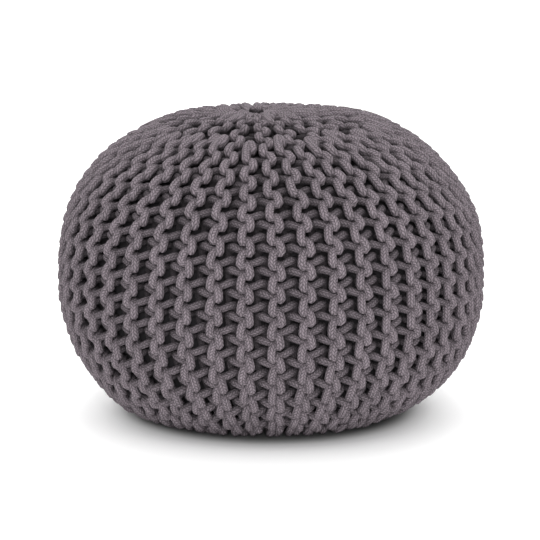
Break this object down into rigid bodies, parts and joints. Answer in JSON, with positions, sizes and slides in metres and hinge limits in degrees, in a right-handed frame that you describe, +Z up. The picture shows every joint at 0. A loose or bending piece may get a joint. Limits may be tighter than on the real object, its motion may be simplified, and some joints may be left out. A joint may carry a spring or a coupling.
{
  "type": "round knitted pouf",
  "caption": "Round, squat pouf knitted in thick grey cotton cord, gathered at the crown, with upright ribs and a flat underside.",
  "frame": {"origin": "middle of the box around the pouf, at the floor", "axes": "+Z up; the front, with the gather nearest to it, faces -Y"},
  "size_m": [0.5018, 0.5, 0.3611],
  "materials": {
    "cotton_cord": "matte"
  },
  "bodies": {
    "root": {"knitted_cover": "cotton_cord"}
  },
  "joints": []
}
